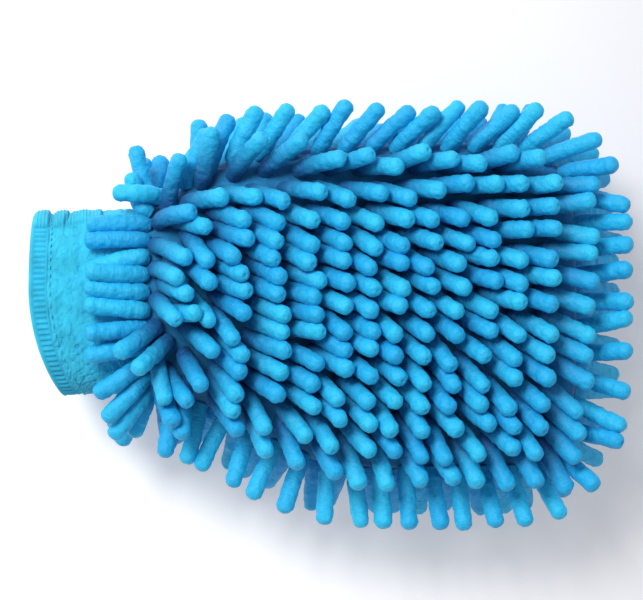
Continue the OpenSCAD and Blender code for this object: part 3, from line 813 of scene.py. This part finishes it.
LINKS = 8
LAY_R = 3.4
LAY_ROUNDS = 90
LAY_PUSH = 0.22
LAY_LARGEST_MOVE = 1.2
LAY_RETURN = 0.03
LAY_STIFFNESS = 0.35

# how far the gathers draw strands towards the wrist seam, and over it
ROW_CROWD = 7.0
LATE_ROW_CROWD = 5.5
EDGE_CROWD = 5.0
CROWD_REACH = 50.0
WRIST_CROWD = 3.8


def strand_axis(points):
    """The two centres of a round-ended solid."""
    middle = (points.min(0) + points.max(0)) / 2
    for _ in range(3):
        axis = np.linalg.svd(points - middle, full_matrices=False)[2][0]
        along = (points - middle) @ axis
        middle = middle + axis * (along.max() + along.min()) / 2
    off_axis = points - middle - np.outer((points - middle) @ axis, axis)
    radius = np.linalg.norm(off_axis, axis=1).max()
    half = (along.max() - along.min()) / 2 - radius
    return middle - axis * half, middle + axis * half


def read_strands(pouch):
    """Every strand of the CAD model as (node, anchor on the cloth, way out of it, tip), by place.

    The gathers crowd those on both sides of the wrist seam together."""
    found = []
    for name in ROW_NODES:
        row = []
        for a, b in (strand_axis(s) for s in solids(nodes[name])):
            near_a, near_b = pouch.find_nearest(Vector(a)), pouch.find_nearest(Vector(b))
            root, tip, near = (a, b, near_a) if near_a[3] <= near_b[3] else (b, a, near_b)
            anchor = np.array(near[0])
            out = (root - anchor) / np.linalg.norm(root - anchor)
            row.append((name, anchor, out, tip))
        row.sort(key=lambda strand: tuple(np.round(strand[1], 1)))
        for k, (_, anchor, out, tip) in enumerate(row):
            x = anchor[0] - ORIGIN[0]
            if "wrist" in name:
                moved = anchor - np.array([WRIST_CROWD, 0, 0])
            else:
                crowd = EDGE_CROWD if "edge" in name else ROW_CROWD
                crowd *= math.exp(-((x / CROWD_REACH) ** 4))
                crowd += LATE_ROW_CROWD if "row" in name and k == 0 and x > 10 else 0
                moved = np.array(pouch.find_nearest(Vector(anchor - np.array([crowd, 0, 0])))[0])
            found.append((name, moved, out, tip + moved - anchor))
    return found


def combed(name, anchor, way, rng):
    """The way a strand lies, after the wrist seam has tangled those near it.

    Those along the upper edge stand up there, but for one that lies back over the cuff; one hangs
    down; the middle leans to the fingertips; some that start the rows tumble back over the seam."""
    x, y = anchor[0] - ORIGIN[0], anchor[1] - ORIGIN[1]
    way = way / np.linalg.norm(way)
    tumble, much = rng.uniform(0, 1, 2)
    if name == "front_upper_edge_strands" and x < 6:
        way = np.array([-1.0, 0.05, 0.3])
    elif "upper_edge" in name:
        upright = 0.8 * math.exp(-((x / 34) ** 4))
        way = way * (1 - upright) + np.array([0.3 * much - 0.05, 1.0, 0.0]) * upright
    elif name == "back_wrist_strands" and y > 20:
        way = np.array([-0.2 + 0.3 * much, 1.0, -0.25])
    elif name == "front_strand_row_5" and x < 6:
        way = np.array([0.05, -1.0, 0.12])
    elif "row" in name:
        middle = math.exp(-(((x - 42) / 32) ** 2) - ((y + 10) / 32) ** 2)
        way = way + np.array([0.6, 0.1, 0.0]) * middle
    if "wrist" not in name and tumble < 0.35:
        way = way + math.exp(-((x / 8) ** 4)) * np.array([-0.9, -0.3, 0.1]) * (0.6 + 0.6 * much)
    return way / np.linalg.norm(way)


def first_shape(name, anchor, out, tip, rng):
    """Centreline points that leave the cloth squarely and bend over, with a stray curl."""
    length = (STRAND_LEN - STRAND_R + STRAND_SINK) * (0.98 if "wrist" in name else 1)
    start = anchor - out * STRAND_SINK
    way = combed(name, anchor, tip - anchor, rng)
    sideways = np.cross(way, out + 1e-3)
    sideways /= np.linalg.norm(sideways)
    x = anchor[0] - ORIGIN[0]
    tangle = 1 + 2.0 * math.exp(-(((x - 8) / 14) ** 2)) + 0.6 * ("edge" in name)
    curl = (sideways * rng.normal(0, 1.5) + out * rng.normal(0, 0.8)) * tangle
    t = np.linspace(0, 1, LINKS)[:, None]
    knee = start + out * 0.22 * length + way * 0.18 * length
    end = start + way * length * 0.98 + curl
    line = (1 - t) ** 2 * start + 2 * t * (1 - t) * knee + t**2 * end
    step = length / (LINKS - 1)
    for k in range(1, LINKS):
        d = line[k] - line[k - 1]
        line[k] = line[k - 1] + d / np.linalg.norm(d) * step
    return line


def lay_strands(strands, pouch, cuff):
    """Pushes the soft strands clear of each other, the cloth and the floor, at a fixed length."""
    rng = np.random.RandomState(11)
    lines = np.array([first_shape(*strand, rng) for strand in strands])
    rest = lines.copy()
    step = np.linalg.norm(lines[:, 1] - lines[:, 0], axis=1, keepdims=True)
    middles = lines.mean(1)
    gap = np.linalg.norm(middles[:, None] - middles[None], axis=2)
    first, second = np.nonzero(np.triu(gap < STRAND_LEN + 2 * LAY_R, 1))
    softness = np.linspace(0, 1, LINKS)[None, :, None]
    for _ in range(LAY_ROUNDS):
        apart = lines[first][:, 1:, None] - lines[second][:, None, 1:]
        distance = np.linalg.norm(apart, axis=3)
        pair, i, j = np.nonzero(distance < 2 * LAY_R)
        d = distance[pair, i, j][:, None]
        push = apart[pair, i, j] / np.maximum(d, 1e-6) * (2 * LAY_R - d) * LAY_PUSH
        move = np.zeros_like(lines)
        np.add.at(move, (first[pair], i + 1), push)
        np.add.at(move, (second[pair], j + 1), -push)
        lines += np.clip(move, -LAY_LARGEST_MOVE, LAY_LARGEST_MOVE) * (0.35 + 0.65 * softness)
        lines += (rest - lines) * LAY_RETURN
        bend = np.zeros_like(lines)
        bend[:, 1:-1] = (lines[:, :-2] + lines[:, 2:]) / 2 - lines[:, 1:-1]
        lines[:, 2:] += bend[:, 2:] * LAY_STIFFNESS
        for k in range(2, LINKS):
            for s in range(len(lines)):
                for tree in (pouch, cuff):
                    spot, _, _, away = tree.find_nearest(Vector(lines[s, k]), LAY_R)
                    if spot is not None and away < LAY_R:
                        out = lines[s, k] - np.array(spot)
                        size = np.linalg.norm(out)
                        if size > 1e-6:
                            lines[s, k] = np.array(spot) + out / size * LAY_R
        lines[:, 1:, 2] = np.maximum(lines[:, 1:, 2], LAY_R + 0.1)
        lines[:, 0] = rest[:, 0]
        for k in range(1, LINKS):
            d = lines[:, k] - lines[:, k - 1]
            lines[:, k] = lines[:, k - 1] + d / np.linalg.norm(d, axis=1, keepdims=True) * step
    return lines


def smooth_line(lines, shares):
    """Points at shares of the way along each centreline, on a smooth curve through its links."""
    before, after = 2 * lines[:, :1] - lines[:, 1:2], 2 * lines[:, -1:] - lines[:, -2:-1]
    ends = np.concatenate([before, lines, after], 1)
    at = np.clip(shares * (LINKS - 1), 0, LINKS - 1 - 1e-9)
    k = np.floor(at).astype(int)
    t = (at - k)[None, :, None]
    a, b, c, d = (ends[:, k + n] for n in range(4))
    curved = (2 * a - 5 * b + 4 * c - d) * t**2 + (3 * b - a - 3 * c + d) * t**3
    return 0.5 * (2 * b + (c - a) * t + curved)


def blurred(field, times_along, times_round):
    """White noise on (strand, ring, side) smoothed along and round, at unit spread."""
    for _ in range(times_along):
        padded = np.pad(field, ((0, 0), (1, 1), (0, 0)), "edge")
        field = (padded[:, :-2] + 2 * padded[:, 1:-1] + padded[:, 2:]) / 4
    for _ in range(times_round):
        field = (np.roll(field, 1, 2) + 2 * field + np.roll(field, -1, 2)) / 4
    return field / field.std()


def strand_skins(lines, seed):
    """Points of every strand's pile, as (strand, ring, side, xyz)."""
    rng = np.random.RandomState(seed)
    count = len(lines)
    body = np.linspace(0, 1, STRAND_RINGS)
    centre = smooth_line(lines, body)
    last = centre[:, -1] - centre[:, -2]
    last /= np.linalg.norm(last, axis=1, keepdims=True)
    turn = np.linspace(0, math.pi / 2, DOME_RINGS + 1)[1:-1]
    dome = centre[:, -1:] + last[:, None] * (STRAND_R * np.sin(turn))[None, :, None]
    centre = np.concatenate([centre, dome], 1)
    rings = centre.shape[1]
    sides, ups = carried_frames(centre)
    length = STRAND_LEN - STRAND_R + STRAND_SINK
    along = np.concatenate([body * length, length + STRAND_R * np.sin(turn)])
    taper = np.concatenate([np.ones(STRAND_RINGS), np.cos(turn) ** 0.86])
    neck = 0.82 + 0.18 * np.clip(along / 4.5, 0, 1) ** 0.7
    size = 1 + rng.normal(0, 0.022, (count, 1, 1))
    radius = STRAND_R * (taper * neck)[None, :, None] * size
    tufts = blurred(rng.standard_normal((count, rings, STRAND_SIDES)), 3, 1)
    lumps = blurred(rng.standard_normal((count, rings, STRAND_SIDES)), 10, 10)
    ridge_phase = rng.uniform(0, 2 * math.pi, (count, 1, 1))
    pitch = RIDGE_PITCH * (1 + 0.05 * blurred(rng.standard_normal((count, rings, 1)), 6, 0))
    ridges = np.sin(2 * math.pi * along[None, :, None] / pitch + ridge_phase + 0.9 * lumps)
    at_tip = (1 + 0.3 * (np.arange(rings) >= STRAND_RINGS))[None, :, None]
    rough = 0.09 * tufts * at_tip + 0.10 * lumps + 0.025 * ridges
    radius = np.maximum(radius + rough * taper[None, :, None] ** 0.5, 0.15)
    angle = np.linspace(0, 2 * math.pi, STRAND_SIDES, endpoint=False)
    spin = sides[:, :, None] * np.cos(angle)[:, None] + ups[:, :, None] * np.sin(angle)[:, None]
    skin = centre[:, :, None] + spin * radius[..., None]
    dimple = rng.uniform(0, 0.9, (count, 1)) ** 2
    skin[:, -1] -= (last * dimple * 0.45)[:, None]
    pole = centre[:, -1] + last * (STRAND_R * (1 - math.sin(turn[-1])) * 0.3 - dimple)
    return skin, centre[:, 0], pole, along


def strand_row_piece(name, lines, seed, material):
    """The strands of one sewn row as one mesh."""
    skin, base, pole, along = strand_skins(lines, seed)
    count, rings, around = skin.shape[:3]
    per = rings * around + 2
    points = np.concatenate([skin.reshape(count, -1, 3), base[:, None], pole[:, None]], 1)
    points = points.reshape(-1, 3)
    quads = closed_grid(rings, around)
    spot = np.arange(around)
    nxt = (spot + 1) % around
    root_fan = np.stack([np.full(around, rings * around), nxt, spot], -1)
    top = (rings - 1) * around
    tip_fan = np.stack([np.full(around, rings * around + 1), top + spot, top + nxt], -1)
    starts = (np.arange(count) * per)[:, None, None]
    quads = (quads[None] + starts).reshape(-1, 4)
    fans = (np.concatenate([root_fan, tip_fan])[None] + starts).reshape(-1, 3)
    rng = np.random.RandomState(seed + 1)
    tone = np.repeat(rng.uniform(0, 1, count), per)
    along = np.concatenate([np.repeat(along, around), [0, along[-1]]])
    # share of the way up each strand, which drives the painted root shade; strands along the edges
    # and at the wrist get less of it
    height = np.tile(along / along.max(), count)
    if "edge" in name or "wrist" in name:
        height = 0.7 + 0.3 * height
    phases = rng.uniform(0, RIDGE_PITCH, (count, 1))
    along = (along[None] + phases).ravel()
    return mesh_piece(name, points, quads, material, fans, tone=tone, along=along, height=height)


def make_strands():
    """One piece for each row of strands, as {CAD node: piece}."""
    pouch = surface_of("front_backing", "back_backing")
    cuff = surface_of("cuff_knit", "cuff_hem_band")
    strands = read_strands(pouch)
    lines = lay_strands(strands, pouch, cuff)
    material = chenille_material()
    names = [s[0] for s in strands]
    piles = {}
    for n, name in enumerate(ROW_NODES):
        rows = np.array([k for k, owner in enumerate(names) if owner == name])
        piles[name] = strand_row_piece(f"pile_{name}", lines[rows], 100 + 10 * n, material)
        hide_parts(name)
    return piles


# ======================= the whole =======================

make_camera()
make_lights()
make_floor()
piles = make_strands()

# darker than the strands: partly the cloth's own tone, partly painted shade for the gaps between
# the rows
cloth = cloth_material("backing_cloth", (0.014, 0.21, 0.46), 1.6, 0.3)
knit = knit_material("cuff_knit", (0.045, 0.61, 0.87), 1.15, 0.95, 0.12)
ribbed = knit_material("hem_rib", (0.042, 0.58, 0.85), 0.7, 0.9, 0.08)
for side, face in ((1, "front"), (-1, "back")):
    backing = make_backing(side, f"cloth_{face}_backing", cloth)
    lining = make_lining(side, f"cloth_{face}_lining", cloth)
tube = make_cuff_knit(knit)
hem = make_hem(ribbed)
make_elastic()
thread = cloth_material("sewing_thread", (0.02, 0.28, 0.55), 3.0, 0.3)
pale_thread = cloth_material("cuff_thread", (0.08, 0.72, 0.93), 3.0, 0.2)
make_stitches("hem_stitching", 0.3, 0.24, pale_thread)
make_stitches("wrist_stitching", 0.25, 0.28, thread)
make_row_threads(1, "front_row_stitching", thread)
make_row_threads(-1, "back_row_stitching", thread)
make_side_seam(knit, pale_thread)
make_perimeter_seam(cloth, thread)
make_wrist_overlock(thread)
